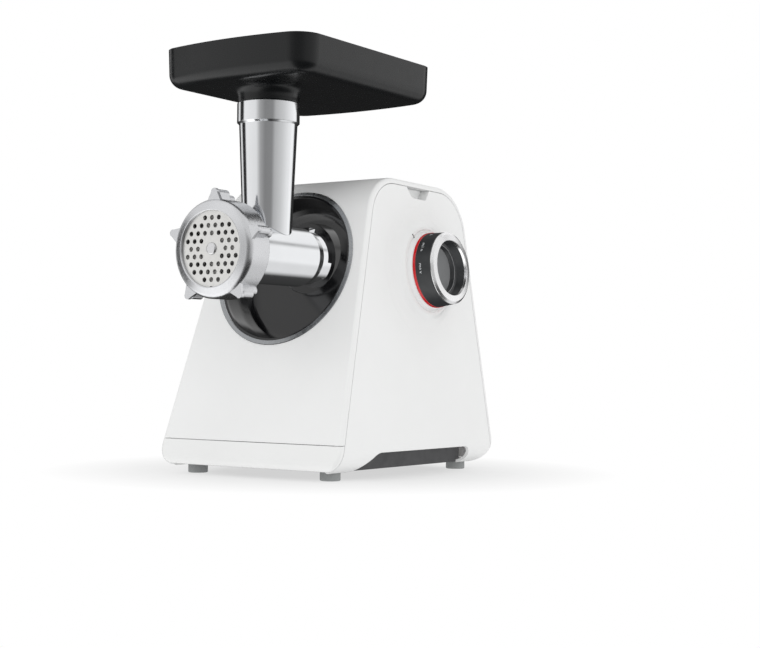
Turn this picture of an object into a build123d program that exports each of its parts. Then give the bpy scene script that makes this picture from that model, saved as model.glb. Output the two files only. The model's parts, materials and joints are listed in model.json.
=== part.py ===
from build123d import *
import math
import os

# Electric meat grinder: a white casing with a motor and a three stage gearbox, a grinding head
# with worm, knife and perforated disc, a feed tray and a speed knob.
# Millimetres, +Z up, the front faces -Y. The origin is on the surface that the grinder stands on,
# midway between its feet.

os.makedirs("parts", exist_ok=True)

# ---------------------------------------------------------------- driving dimensions
# Casing: the front leans back, the sides lean in, the nearly level top rounds off at both ends.
base_half_width, side_lean = 92.4, 0.088
front_y, front_lean = -118.5, 0.311
rear_y, rear_lean = 118.3, 0.121
top_z, top_fall = 240.9, 0.015
casing_bottom = 6.3
wall = 2.5
band = 4.5
seam = 0.4
edge_radius = 3.0
front_top_radius, rear_top_radius = 39.0, 40.0
front_foot_radius, rear_foot_radius = 7.0, 20.0
side_foot_radius = 16.0
trim_height = 27.9

# Axes of the grinding head and of its feed neck.
worm_z = 176.7
neck_y = -89.0

# Grinding head.
disc_front = -156.3
disc_thickness = 4.8
disc_radius = 30.9
disc_hole, disc_pitch = 3.8, 6.84
ring_front, ring_rear = -158.8, -133.0
ring_radius, ring_bore = 38.3, 34.3
ring_mouth = 29.3
flange_radius = 34.0
barrel_radius, barrel_rear = 24.25, -49.5
chamber_radius = 21.0
spigot_radius, spigot_rear = 21.5, -16.0
collar_bottom, collar_top, collar_radius = 281.2, 297.0, 25.0
neck_bottom_radius, neck_top_radius = 19.4, 23.3
worm_radius, worm_core, worm_pitch = 20.6, 9.5, 24.0

# Recess in the front for the head.
recess_z, recess_radius, recess_depth = 168.0, 63.0, 32.0
rim_radius = 66.4

# Gear train: teeth and module of each pair, and the faces of the three planes that they run in.
pressure_angle = math.radians(25)
pairs = {"first": (12, 60, 1.0), "second": (14, 56, 1.25), "third": (12, 48, 1.5)}
planes = {"third": (-3.0, 7.0), "second": (8.5, 15.5), "first": (17.0, 22.5)}
gearbox_front, gearbox_split, gearbox_rear = -12.0, 24.0, 27.0
shaft_radius, output_shaft_radius = 4.0, 7.0
running_gap = 0.05

# Motor.
motor_z, motor_shaft_offset = 60.0, 14.0
motor_shaft_radius = 4.0
stack_front, stack_rear = 48.0, 78.0
rotor_radius, stator_bore = 18.0, 18.5

# Speed knob on the right side.
knob_y, knob_z = 19.9, 166.4
knob_foot_radius, knob_radius = 31.0, 29.6
knob_base, knob_face = 10.4, 28.2


# ---------------------------------------------------------------- shared geometry
def save(piece, name):
    """Label a finished piece and write it to its own file."""
    piece.part.label = name
    export_step(piece.part, f"parts/{name}.step")


def outline(plane, points, radii=0.0):
    """A flat face on a plane with the given corners, rounded by radii."""
    with BuildSketch(plane) as face:
        with BuildLine():
            if radii:
                FilletPolyline(*points, radius=radii, close=True)
            else:
                Polyline(*points, close=True)
        make_face()
    return face.sketch


def front_at(z, inset=0.0):
    return front_y + front_lean * z + inset * math.hypot(1, front_lean)


def rear_at(z, inset=0.0):
    return rear_y - rear_lean * z - inset * math.hypot(1, rear_lean)


def half_width(z, inset=0.0):
    return base_half_width - side_lean * z - inset * math.hypot(1, side_lean)


def side_view(inset, floor_z, foot_radii, offset=0.0):
    """The casing seen from the side, moved in by inset and cut off level at floor_z."""
    lid = top_z - inset * math.hypot(1, top_fall)
    front_top = front_at(lid, inset) / (1 + front_lean * top_fall)
    rear_top = rear_at(lid, inset) / (1 - rear_lean * top_fall)
    corners = [
        (front_at(floor_z, inset), floor_z),
        (front_top, lid - top_fall * front_top),
        (rear_top, lid - top_fall * rear_top),
        (rear_at(floor_z, inset), floor_z),
    ]
    radii = [foot_radii[0], front_top_radius - inset, rear_top_radius - inset, foot_radii[1]]
    return outline(Plane.YZ.offset(offset), corners, radii)


def front_view(inset, floor_z):
    """The casing seen from the front, moved in by inset: sides that lean in and round feet."""
    high = top_z + 30
    corners = [
        (-half_width(floor_z, inset), floor_z),
        (-half_width(high, inset), high),
        (half_width(high, inset), high),
        (half_width(floor_z, inset), floor_z),
    ]
    foot = max(side_foot_radius - inset, 1.0)
    return outline(Plane.XZ, corners, [foot, 0, 0, foot])


def casing_form(inset, rounded=0.0):
    """The solid that the casing's walls follow, moved in by inset."""
    floor_z = casing_bottom + inset
    feet = [max(front_foot_radius - inset, 0.5), rear_foot_radius - inset]
    with BuildPart() as form:
        extrude(side_view(inset, floor_z, feet), amount=120, both=True)
        extrude(front_view(inset, floor_z), amount=200, both=True, mode=Mode.INTERSECT)
        if rounded:
            right = form.faces().filter_by(GeomType.PLANE).sort_by(Axis.X)[-1]
            fillet([edge for edge in right.edges() if edge.center().Z > 100], rounded)
            split(bisect_by=Plane.YZ, keep=Keep.TOP)
            mirror(about=Plane.YZ)
    return form.part


def across(y, x=0.0, z=0.0):
    """A plane square to Y, seen from the front: its x is X and its y is Z."""
    return Plane(origin=(x, y, z), x_dir=(1, 0, 0), z_dir=(0, -1, 0))


def upright(x=0.0, y=0.0):
    """A plane for turning profiles of (radius, height) about a vertical axis."""
    return Plane(origin=(x, y, 0), x_dir=(1, 0, 0), z_dir=(0, -1, 0))


worm_axis = Axis((0, 0, worm_z), (0, 1, 0))
worm_plane = Plane(origin=(0, 0, worm_z), x_dir=(0, 1, 0), z_dir=(1, 0, 0))
neck_axis = Axis((0, neck_y, 0), (0, 0, 1))

# The front face's own plane, centred on the recess, looking outwards.
front_normal = Vector(0, -1, front_lean).normalized()
recess_plane = Plane(
    origin=(0, front_at(recess_z), recess_z), x_dir=(1, 0, 0), z_dir=front_normal
)

# The knob turns about the side panel's normal. Profiles are (distance out, radius).
side_normal = Vector(1, 0, side_lean).normalized()
side_up = Vector(-side_lean, 0, 1).normalized()
knob_origin = Vector(half_width(knob_z), knob_y, knob_z)
knob_plane = Plane(origin=knob_origin, x_dir=side_normal, z_dir=side_up)
knob_axis = Axis(knob_origin, side_normal)


def knob_disc(out):
    """A plane square to the knob's axis, a distance out from the side panel."""
    return Plane(origin=knob_origin + side_normal * out, x_dir=(0, 1, 0), z_dir=side_normal)


outer_form = casing_form(0, edge_radius)
inner_form = casing_form(wall)

with BuildPart() as casing_wall:
    add(outer_form)
    add(inner_form, mode=Mode.SUBTRACT)


def side_zone(inset, offset=0.0):
    """The side panel's outline, open at the bottom, at an offset from the middle plane."""
    return side_view(inset, -1.0, [0, 0], offset)


rear_zone_low, rear_zone_high = 24.0, 196.0


def rear_zone(gap):
    """The rear cover's outline seen from behind."""
    low, high = rear_zone_low - gap, rear_zone_high + gap
    edge = 12.0 - gap
    corners = [
        (-half_width(low, edge), low),
        (-half_width(high, edge), high),
        (half_width(high, edge), high),
        (half_width(low, edge), low),
    ]
    return outline(across(rear_at(0) + 10), corners, 8.0)


# ---------------------------------------------------------------- casing
with BuildPart() as centre_shell:
    add(casing_wall.part)
    extrude(side_zone(band), amount=120, both=True, mode=Mode.SUBTRACT)
    extrude(rear_zone(seam / 2), amount=60, mode=Mode.SUBTRACT)
    with BuildSketch(recess_plane):
        Circle(rim_radius + 0.2)
    extrude(amount=40, both=True, mode=Mode.SUBTRACT)
    with BuildSketch(Plane.XY.offset(casing_bottom - 1)):
        Rectangle(2 * base_half_width, 172)
    extrude(amount=wall + 1.6, mode=Mode.SUBTRACT)
    with BuildSketch(Plane.XY):
        with Locations((0, -100)):
            Rectangle(2 * base_half_width, 100)
    extrude(amount=trim_height + seam / 2, mode=Mode.SUBTRACT)
save(centre_shell, "centre_shell")

with BuildPart() as front_lower_trim:
    add(casing_wall.part)
    extrude(side_zone(band), amount=120, both=True, mode=Mode.SUBTRACT)
    with BuildSketch(Plane.XY):
        with Locations((0, -100)):
            Rectangle(2 * base_half_width, 99.2)
    extrude(amount=trim_height - seam / 2, mode=Mode.INTERSECT)
    with BuildSketch(Plane.XY.offset(casing_bottom - 1)):
        Rectangle(2 * base_half_width, 172)
    extrude(amount=wall + 1.6, mode=Mode.SUBTRACT)
save(front_lower_trim, "front_lower_trim")

# Side panels: an arch at the foot and a bevelled finger grip at the top.
arch = [(-110, 5.9), (-84, 5.9), (-60, 20.9), (77, 20.9), (77, -4), (-110, -4)]
arch_radii = [0, 16, 16, 8, 0, 0]
grip_depth = 9.0
grip_top = [(-0.3, 240.5), (41.4, 240.5)]
grip_low = [(31.5, 226.6), (11.5, 227.2)]


def grip_pocket(spread, offset):
    """The grip's outline, wider by spread, at an offset from the middle plane."""
    corners = [
        (grip_top[0][0] - spread, grip_top[0][1]),
        (grip_top[1][0] + spread, grip_top[1][1]),
        (grip_low[0][0] + spread, grip_low[0][1] - spread),
        (grip_low[1][0] - spread, grip_low[1][1] - spread),
    ]
    return outline(Plane.YZ.offset(offset), corners, [0, 0, 3.0 + spread, 3.0 + spread])


grip_floor = half_width(grip_low[0][1]) - grip_depth
pocket_wall, roof_gap = 1.8, 0.2
panel_start = 20.0
plate_half_width = 75.5

with BuildPart() as grip_block:
    extrude(grip_pocket(pocket_wall, grip_floor - pocket_wall), amount=60)
    extrude(side_zone(band + seam, panel_start), amount=80, mode=Mode.INTERSECT)
    add(outer_form, mode=Mode.INTERSECT)

# The grip's roof fills the space between its hollow and the casing's top wall.
with BuildPart() as grip_roof:
    extrude(grip_pocket(pocket_wall, grip_floor - pocket_wall), amount=60)
    add(casing_form(wall + roof_gap), mode=Mode.INTERSECT)

with BuildPart() as grip_hollow:
    extrude(grip_pocket(0, grip_floor), amount=60)
    extrude(side_zone(band + seam, panel_start), amount=80, mode=Mode.INTERSECT)

with BuildPart() as plain_panel:
    add(casing_wall.part)
    extrude(side_zone(band + seam, panel_start), amount=80, mode=Mode.INTERSECT)
    with BuildSketch(Plane.XY):
        Rectangle(2 * plate_half_width + 1, 240)
    extrude(amount=casing_bottom + wall + 0.8, mode=Mode.SUBTRACT)
    add(grip_block.part)
    add(grip_roof.part)
    add(grip_hollow.part, mode=Mode.SUBTRACT)
    with BuildSketch(Plane.YZ):
        with BuildLine():
            FilletPolyline(*arch, radius=arch_radii, close=True)
        make_face()
    extrude(amount=120, mode=Mode.SUBTRACT)

with BuildPart() as left_side_panel:
    mirror(plain_panel.part, about=Plane.YZ)
save(left_side_panel, "left_side_panel")

# The right panel carries a boss that flares out to a lip and rises to the knob's foot.
boss_top = knob_base - 0.3
boss_profile = [(-wall, 12), (-wall, 54), (0.02, 54), (0.7, 47), (3.0, 40.2), (6.6, 36.6), (7.2, 34.6)]
boss_profile += [(5.8, 33.2), (boss_top - 0.5, 31.6), (boss_top, 30.8), (boss_top, 12)]
boss_radii = [0, 0, 0, 12, 8, 0.6, 0.5, 0.7, 0.3, 0.2, 0]

with BuildPart() as right_side_panel:
    add(plain_panel.part)
    revolve(outline(knob_plane, boss_profile, boss_radii), axis=knob_axis)
    with BuildSketch(knob_disc(-6)):
        Circle(10.0)
    extrude(amount=20, mode=Mode.SUBTRACT)
save(right_side_panel, "right_side_panel")

with BuildPart() as rear_cover:
    add(casing_wall.part)
    extrude(rear_zone(-seam / 2), amount=60, mode=Mode.INTERSECT)
    vents = across(rear_at(0) + 10)
    with BuildSketch(vents):
        with Locations((0, 150)):
            with GridLocations(10, 30, 9, 2):
                SlotOverall(24, 4, rotation=90)
        with Locations((-48, 42)):
            Circle(6.6)
    extrude(amount=60, mode=Mode.SUBTRACT)
save(rear_cover, "rear_cover")

# Base plate: louvred floor with two walls behind the arches and two saddles for the motor.
floor_low, floor_high = 7.0, 9.2
foot_x, foot_front, foot_rear = 67.0, -92.0, 91.0
arch_wall_top = 24.0
saddle_top = 26.0

with BuildPart() as base_plate:
    with BuildSketch(Plane.XY.offset(floor_low)):
        with Locations((0, (foot_front + foot_rear) / 2)):
            RectangleRounded(2 * plate_half_width, 204, 14)
    extrude(amount=floor_high - floor_low)
    with BuildSketch(Plane.XY.offset(floor_low)):
        with Locations((-plate_half_width + 1, 8), (plate_half_width - 1, 8)):
            Rectangle(2, 150)
    extrude(amount=arch_wall_top - floor_low)
    with BuildSketch(Plane.XY.offset(floor_low)):
        with Locations((0, 56), (0, 72)):
            Rectangle(44, 8)
    extrude(amount=saddle_top - floor_low)
    with BuildSketch(Plane.XY.offset(floor_low)):
        with GridLocations(100, 130, 2, 2):
            Circle(5)
    extrude(amount=14)
    with BuildSketch(Plane.XY.offset(floor_low)):
        with Locations((0, 14)):
            with GridLocations(10, 40, 7, 1):
                SlotOverall(40, 4, rotation=90)
        with GridLocations(100, 130, 2, 2):
            Circle(1.5)
    extrude(amount=13, mode=Mode.SUBTRACT)
save(base_plate, "base_plate")

for foot_name, x, y in (
    ("foot_front_left", -foot_x, foot_front),
    ("foot_front_right", foot_x, foot_front),
    ("foot_rear_left", -foot_x, foot_rear),
    ("foot_rear_right", foot_x, foot_rear),
):
    with BuildPart() as foot:
        with BuildSketch(Plane.XY):
            with Locations((x, y)):
                Circle(8.0)
        extrude(amount=floor_low)
        fillet(foot.edges().sort_by(Axis.Z)[0], 1.0)
    save(foot, foot_name)

with BuildPart() as base_screws:
    with BuildSketch(Plane.XY.offset(floor_low - 2.2)):
        with GridLocations(100, 130, 2, 2):
            Circle(3.2)
    extrude(amount=2.2)
    with BuildSketch(Plane.XY.offset(floor_low)):
        with GridLocations(100, 130, 2, 2):
            Circle(1.5)
    extrude(amount=13)
    with BuildSketch(Plane.XY.offset(floor_low - 2.2)):
        with GridLocations(100, 130, 2, 2):
            Rectangle(3.6, 0.8)
            Rectangle(0.8, 3.6)
    extrude(amount=1.2, mode=Mode.SUBTRACT)
save(base_screws, "base_screws")

# Cord inlet: a flanged bush in the rear cover.
gland_x, gland_z = -48.0, 42.0

with BuildPart() as cord_gland:
    with BuildSketch(across(rear_at(gland_z) + 4.2, gland_x, gland_z)):
        Circle(9.5)
    extrude(amount=2.6)
    chamfer(cord_gland.faces().sort_by(Axis.Y)[-1].edges(), 0.8)
    with BuildSketch(across(rear_at(gland_z) + 4.2, gland_x, gland_z)):
        Circle(6.4)
    extrude(amount=14)
    with BuildSketch(across(rear_at(gland_z) + 5, gland_x, gland_z)):
        Circle(3.6)
    extrude(amount=18, mode=Mode.SUBTRACT)
save(cord_gland, "cord_gland")

# ---------------------------------------------------------------- recess
with BuildPart() as recess_rim:
    with BuildSketch(recess_plane):
        Circle(rim_radius)
        Circle(recess_radius + 0.2, mode=Mode.SUBTRACT)
    extrude(amount=40, both=True)
    add(casing_form(-0.8), mode=Mode.INTERSECT)
    add(casing_form(wall + 1.5), mode=Mode.SUBTRACT)
save(recess_rim, "recess_rim")

bowl_wall = 2.2
socket_front, socket_radius, socket_bore = -36.0, 29.0, 21.8
bowl_out = Plane(recess_plane.origin, x_dir=-front_normal, z_dir=(1, 0, 0))
bowl_axis = Axis(recess_plane.origin, front_normal)
bowl_points = [
    (-30, 0), (-30, recess_radius), (6, recess_radius), (20, 61.5),
    (recess_depth + bowl_wall, 57), (recess_depth + bowl_wall, 0),
]
hollow_points = [
    (-40, 0), (-40, 61), (4, 61), (18, 59.3), (recess_depth, 54.5), (recess_depth, 0),
]

bowl_limit = casing_form(0.6)

with BuildPart() as recess_bowl:
    revolve(outline(bowl_out, bowl_points, [0, 0, 6, 20, 12, 0]), axis=bowl_axis)
    revolve(outline(bowl_out, hollow_points, [0, 0, 6, 20, 10, 0]), axis=bowl_axis, mode=Mode.SUBTRACT)
    add(bowl_limit, mode=Mode.INTERSECT)
    with BuildSketch(across(0, 0, worm_z)):
        Circle(socket_radius + 0.2)
    extrude(amount=60, mode=Mode.SUBTRACT)
save(recess_bowl, "recess_bowl")

# Bayonet socket for the head: a tube with three entry slots for the lugs on the head's spigot.
lug_count, lug_radius, lug_angle = 3, 25.0, 34.0
lug_front, lug_rear = -24.0, -19.0
socket_flange = 36.0
flange_thickness = 3.0


def sector(plane, inner, outer, middle, spread):
    """A ring segment between two radii, spread degrees wide about the angle middle."""
    first = math.radians(middle - spread / 2)
    last = math.radians(middle + spread / 2)
    half = math.radians(middle)

    def at(radius, angle):
        return (radius * math.cos(angle), radius * math.sin(angle))

    with BuildSketch(plane) as segment:
        with BuildLine():
            ThreePointArc(at(outer, first), at(outer, half), at(outer, last))
            Line(at(outer, last), at(inner, last))
            ThreePointArc(at(inner, last), at(inner, half), at(inner, first))
            Line(at(inner, first), at(outer, first))
        make_face()
    return segment.sketch


lug_angles = [90 + 360 / lug_count * i for i in range(lug_count)]

with BuildPart() as drive_socket:
    with BuildSketch(across(gearbox_front, 0, worm_z)):
        Circle(socket_flange)
        Circle(socket_bore, mode=Mode.SUBTRACT)
    extrude(amount=flange_thickness)
    with BuildSketch(across(gearbox_front, 0, worm_z)):
        Circle(socket_radius)
        Circle(socket_bore, mode=Mode.SUBTRACT)
    extrude(amount=gearbox_front - socket_front)
    for angle in lug_angles:
        slot = sector(across(lug_rear + 0.4, 0, worm_z), socket_bore - 1, lug_radius + 0.4, angle, lug_angle + 3)
        extrude(slot, amount=40, mode=Mode.SUBTRACT)
save(drive_socket, "drive_socket")

# ---------------------------------------------------------------- gear train
def reach(pair):
    """Distance between the two shafts of a gear pair."""
    small, large, module = pairs[pair]
    return (small + large) / 2 * module


# Shaft places seen from the front as (x, z): motor, first, second and output.
motor_at = (0.0, motor_z)
first_at = (
    motor_shaft_offset,
    motor_z + math.sqrt(reach("first") ** 2 - motor_shaft_offset**2),
)
output_at = (0.0, worm_z)


def between(a, b, reach_a, reach_b):
    """The point at reach_a from a and reach_b from b, on the left of the line from a to b."""
    span = math.dist(a, b)
    along = (reach_a**2 - reach_b**2 + span**2) / (2 * span)
    aside = math.sqrt(reach_a**2 - along**2)
    ux, uz = (b[0] - a[0]) / span, (b[1] - a[1]) / span
    return (a[0] + along * ux - aside * uz, a[1] + along * uz + aside * ux)


second_at = between(first_at, output_at, reach("second"), reach("third"))


def bearing(a, b):
    """Direction from shaft a to shaft b in radians."""
    return math.atan2(b[1] - a[1], b[0] - a[0])


def gear(plane, teeth, module, turn, bore=0.0):
    """A spur gear's face with involute flanks. A tooth is centred on the angle turn."""
    pitch_r = teeth * module / 2
    base_r = pitch_r * math.cos(pressure_angle)
    root_r, tip_r = pitch_r - 1.2 * module, pitch_r + 0.9 * module
    backlash = 0.07 + 0.05 * module
    half_tooth = math.pi / (2 * teeth) - backlash / (2 * pitch_r)

    def involute(radius):
        angle = math.acos(min(1.0, base_r / radius))
        return math.tan(angle) - angle

    def flank(radius):
        return half_tooth + involute(pitch_r) - involute(max(radius, base_r))

    steps = [root_r, max(base_r, root_r + 0.05), pitch_r, tip_r]
    points = []
    for i in range(teeth):
        middle = turn + 2 * math.pi * i / teeth
        for radius in steps:
            angle = middle - flank(radius)
            points.append((radius * math.cos(angle), radius * math.sin(angle)))
        for radius in reversed(steps):
            angle = middle + flank(radius)
            points.append((radius * math.cos(angle), radius * math.sin(angle)))
    with BuildSketch(plane) as face:
        with BuildLine():
            Polyline(*points, close=True)
        make_face()
        if bore:
            Circle(bore, mode=Mode.SUBTRACT)
    return face.sketch


def meshed(pair, small_at, large_at):
    """Turns of the small and the large gear of a pair that put a tooth into a gap."""
    toward = bearing(small_at, large_at)
    large_teeth = pairs[pair][1]
    return toward, toward + math.pi + math.pi / large_teeth


def wheel(pair, centre, turn, bore, web_from, web_to):
    """The large gear of a pair, with a thinned web and lightening holes."""
    front, rear = planes[pair]
    _, teeth, module = pairs[pair]
    with BuildPart() as body:
        extrude(gear(across(rear, *centre), teeth, module, turn, bore), amount=rear - front)
        for face_y, way in ((front, -1), (rear, 1)):
            with BuildSketch(across(face_y, *centre)):
                Circle(web_to)
                Circle(web_from, mode=Mode.SUBTRACT)
            extrude(amount=way * 1.6, mode=Mode.SUBTRACT)
    return body


turns = {
    "first": meshed("first", motor_at, first_at),
    "second": meshed("second", first_at, second_at),
    "third": meshed("third", second_at, output_at),
}
hub_radius = 5.4

first_stage_gear = wheel("first", first_at, turns["first"][1], shaft_radius, 9, 26)
save(first_stage_gear, "first_stage_gear")
second_stage_gear = wheel("second", second_at, turns["second"][1], shaft_radius, 9, 30)
save(second_stage_gear, "second_stage_gear")
output_gear = wheel("third", output_at, turns["third"][1], output_shaft_radius, 12, 31)
save(output_gear, "output_gear")

shaft_front, shaft_rear = gearbox_front + 0.5, gearbox_rear - 0.5


def pinion_shaft(pair, centre, turn):
    """A lay shaft with the small gear of a pair cut on it."""
    front, rear = planes[pair]
    small, _, module = pairs[pair]
    with BuildPart() as shaft:
        extrude(gear(across(rear, *centre), small, module, turn), amount=rear - front)
        with BuildSketch(across(shaft_rear, *centre)):
            Circle(shaft_radius)
        extrude(amount=shaft_rear - shaft_front)
    return shaft


first_stage_pinion = pinion_shaft("second", first_at, turns["second"][0])
save(first_stage_pinion, "first_stage_pinion")
second_stage_pinion = pinion_shaft("third", second_at, turns["third"][0])
save(second_stage_pinion, "second_stage_pinion")

with BuildPart() as motor_pinion:
    pinion_front, pinion_rear = planes["first"]
    small, _, module = pairs["first"]
    extrude(
        gear(across(pinion_rear, *motor_at), small, module, turns["first"][0], motor_shaft_radius - 1),
        amount=pinion_rear - pinion_front,
    )
save(motor_pinion, "motor_pinion")

# Output shaft and the dog that drives the worm.
dog_front, dog_rear, dog_radius = -34.0, -13.0, 14.0
dog_floor = -17.0
hex_flats = 15.0
hex_play = 0.35

with BuildPart() as output_shaft:
    with BuildSketch(across(shaft_rear, *output_at)):
        Circle(output_shaft_radius)
    extrude(amount=shaft_rear - dog_floor)
    with BuildSketch(across(9.0, *output_at)):
        Circle(output_shaft_radius + 1.5)
        Circle(output_shaft_radius, mode=Mode.SUBTRACT)
    extrude(amount=9.0 - planes["third"][1])
save(output_shaft, "output_shaft")

with BuildPart() as drive_dog:
    with BuildSketch(across(dog_rear, *output_at)):
        Circle(dog_radius)
        Circle(output_shaft_radius, mode=Mode.SUBTRACT)
    extrude(amount=dog_rear - dog_floor)
    with BuildSketch(across(dog_floor, *output_at)):
        Circle(dog_radius)
        RegularPolygon(hex_flats / 2 + hex_play, 6, major_radius=False, mode=Mode.SUBTRACT)
    extrude(amount=dog_floor - dog_front)
save(drive_dog, "drive_dog")

# Gearbox: a tub open to the rear, closed by a flat cover.
room = {"output": 39.5, "second": 38.0, "first": 33.0, "motor": 12.0}
places = {"output": output_at, "second": second_at, "first": first_at, "motor": motor_at}
gearbox_wall = 3.0
ears = [(28.7, 210.9), (-28.7, 210.9), (48.0, 128.0), (-46.0, 140.0), (17.0, 47.0), (-15.0, 47.0)]
ear_radius = 5.0


def gearbox_outline(plane, spread, with_ears):
    """The hull round all four shafts, wider by spread, with the screw ears."""
    with BuildSketch(plane) as hull:
        for name, radius in room.items():
            with Locations(places[name]):
                Circle(radius + spread)
        make_hull()
        if with_ears:
            with Locations(*ears):
                Circle(ear_radius)
    return hull.sketch


bush_radius, bearing_radius = 7.0, 13.0
front_wall = 4.0

with BuildPart() as gearbox_housing:
    depth = gearbox_split - gearbox_front
    extrude(gearbox_outline(across(gearbox_split), gearbox_wall, True), amount=depth)
    inside = gearbox_outline(across(gearbox_split), 0, False)
    extrude(inside, amount=depth - front_wall, mode=Mode.SUBTRACT)
    with BuildSketch(across(gearbox_front + 8.5, *output_at)):
        Circle(bearing_radius + 2.5)
    extrude(amount=6)
    with BuildSketch(across(gearbox_split, *output_at)):
        Circle(bearing_radius)
    extrude(amount=60, mode=Mode.SUBTRACT)
    with BuildSketch(across(gearbox_split)):
        with Locations(first_at, second_at):
            Circle(bush_radius)
    extrude(amount=60, mode=Mode.SUBTRACT)
    with BuildSketch(across(gearbox_split)):
        with Locations(*ears):
            Circle(1.5)
    extrude(amount=20, mode=Mode.SUBTRACT)
save(gearbox_housing, "gearbox_housing")

with BuildPart() as gearbox_cover:
    cover_thickness = gearbox_rear - gearbox_split
    extrude(gearbox_outline(across(gearbox_rear), gearbox_wall, True), amount=cover_thickness)
    with BuildSketch(across(gearbox_rear)):
        with Locations(first_at, second_at):
            Circle(bush_radius)
        with Locations(output_at):
            Circle(output_shaft_radius + 3)
        with Locations(motor_at):
            Circle(11.0)
        with Locations(*ears):
            Circle(1.5)
    extrude(amount=cover_thickness, mode=Mode.SUBTRACT)
save(gearbox_cover, "gearbox_cover")

with BuildPart() as gearbox_bushes:
    for rear, front in ((gearbox_front + front_wall, gearbox_front), (gearbox_rear, gearbox_split)):
        with BuildSketch(across(rear)):
            for centre in (first_at, second_at):
                with Locations(centre):
                    Circle(bush_radius)
                    Circle(shaft_radius + running_gap, mode=Mode.SUBTRACT)
        extrude(amount=rear - front)
    with BuildSketch(across(gearbox_rear, *output_at)):
        Circle(output_shaft_radius + 3)
        Circle(output_shaft_radius + running_gap, mode=Mode.SUBTRACT)
    extrude(amount=cover_thickness)
save(gearbox_bushes, "gearbox_bushes")

with BuildPart() as output_bearing:
    with BuildSketch(across(gearbox_front + 8, *output_at)):
        Circle(bearing_radius)
        Circle(output_shaft_radius + running_gap, mode=Mode.SUBTRACT)
    extrude(amount=8)
    with BuildSketch(across(gearbox_front + 8, *output_at)):
        Circle(11.4)
        Circle(8.8, mode=Mode.SUBTRACT)
    extrude(amount=1.0, mode=Mode.SUBTRACT)
save(output_bearing, "output_bearing")

screw_radius, screw_head_radius, screw_head_height, screw_length = 1.5, 3.0, 2.2, 18.0

with BuildPart() as gearbox_screws:
    with BuildSketch(across(gearbox_rear)):
        with Locations(*ears):
            Circle(screw_radius)
    extrude(amount=screw_length)
    with BuildSketch(across(gearbox_rear + screw_head_height)):
        with Locations(*ears):
            Circle(screw_head_radius)
    extrude(amount=screw_head_height)
    with BuildSketch(across(gearbox_rear + screw_head_height)):
        with Locations(*ears):
            Rectangle(3.4, 0.8)
            Rectangle(0.8, 3.4)
    extrude(amount=1.2, mode=Mode.SUBTRACT)
save(gearbox_screws, "gearbox_screws")

# ---------------------------------------------------------------- motor
stator_width, stator_height = 66.0, 60.0
coil_inner, coil_outer = 19.2, 26.0
pole_half_angle = 62.0
bracket_thickness = 5.0
bracket_front = gearbox_rear
bracket_rear = 97.0
leg_x, leg_width, leg_height = 29.0, 6.0, 16.0
fan_front, fan_rear = 33.5, 40.0
winding_overhang = 6.0
commutator_front, commutator_rear, commutator_radius = 85.5, 95.0, 11.0
motor_bearing_radius = 9.5
bolt_spots = [(-22.0, motor_z - 24.0), (22.0, motor_z - 24.0), (-22.0, motor_z + 24.0), (22.0, motor_z + 24.0)]
bolt_radius = 2.0
motor_plane = across(0, *motor_at)


def motor_section(y):
    return across(y, *motor_at)


with BuildPart() as motor_stator:
    with BuildSketch(motor_section(stack_rear)):
        RectangleRounded(stator_width, stator_height, 9)
        Circle(stator_bore, mode=Mode.SUBTRACT)
    extrude(amount=stack_rear - stack_front)
    for middle in (0, 180):
        for side in (-1, 1):
            angle = middle + side * (pole_half_angle - 6)
            slot = sector(motor_section(stack_rear), stator_bore - 1, coil_outer + 0.6, angle, 15)
            extrude(slot, amount=stack_rear - stack_front, mode=Mode.SUBTRACT)
    with BuildSketch(across(stack_rear)):
        with Locations(*bolt_spots):
            Circle(bolt_radius)
    extrude(amount=stack_rear - stack_front, mode=Mode.SUBTRACT)
save(motor_stator, "motor_stator")

with BuildPart() as field_coils:
    for middle in (0, 180):
        for rear in (stack_front, stack_rear + winding_overhang):
            ring = sector(motor_section(rear), coil_inner, coil_outer, middle, 2 * pole_half_angle)
            extrude(ring, amount=winding_overhang)
        for side in (-1, 1):
            angle = middle + side * (pole_half_angle - 6)
            bar = sector(motor_section(stack_rear), coil_inner, coil_outer, angle, 12)
            extrude(bar, amount=stack_rear - stack_front)
save(field_coils, "field_coils")

with BuildPart() as motor_front_bracket:
    with BuildSketch(motor_section(bracket_front + bracket_thickness)):
        RectangleRounded(stator_width, stator_height, 9)
        Circle(motor_bearing_radius, mode=Mode.SUBTRACT)
    extrude(amount=bracket_thickness)
    with BuildSketch(motor_section(stack_front)):
        with Locations((-leg_x, 0), (leg_x, 0)):
            Rectangle(leg_width, leg_height)
    extrude(amount=stack_front - bracket_front - bracket_thickness)
    with BuildSketch(across(bracket_front + bracket_thickness)):
        with Locations(*bolt_spots):
            Circle(bolt_radius)
        with Locations(*ears[-2:]):
            Circle(screw_head_radius + 0.6)
    extrude(amount=bracket_thickness, mode=Mode.SUBTRACT)
save(motor_front_bracket, "motor_front_bracket")

with BuildPart() as motor_rear_bracket:
    with BuildSketch(motor_section(bracket_rear + bracket_thickness)):
        RectangleRounded(stator_width, 24, 6)
        Circle(15)
        Circle(motor_bearing_radius, mode=Mode.SUBTRACT)
    extrude(amount=bracket_thickness)
    with BuildSketch(motor_section(bracket_rear)):
        with Locations((-leg_x, 0), (leg_x, 0)):
            Rectangle(leg_width, leg_height)
    extrude(amount=bracket_rear - stack_rear)
save(motor_rear_bracket, "motor_rear_bracket")

with BuildPart() as motor_bearings:
    for front in (bracket_front, bracket_rear):
        with BuildSketch(motor_section(front + bracket_thickness)):
            Circle(motor_bearing_radius)
            Circle(motor_shaft_radius + running_gap, mode=Mode.SUBTRACT)
        extrude(amount=bracket_thickness)
save(motor_bearings, "motor_bearings")

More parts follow.
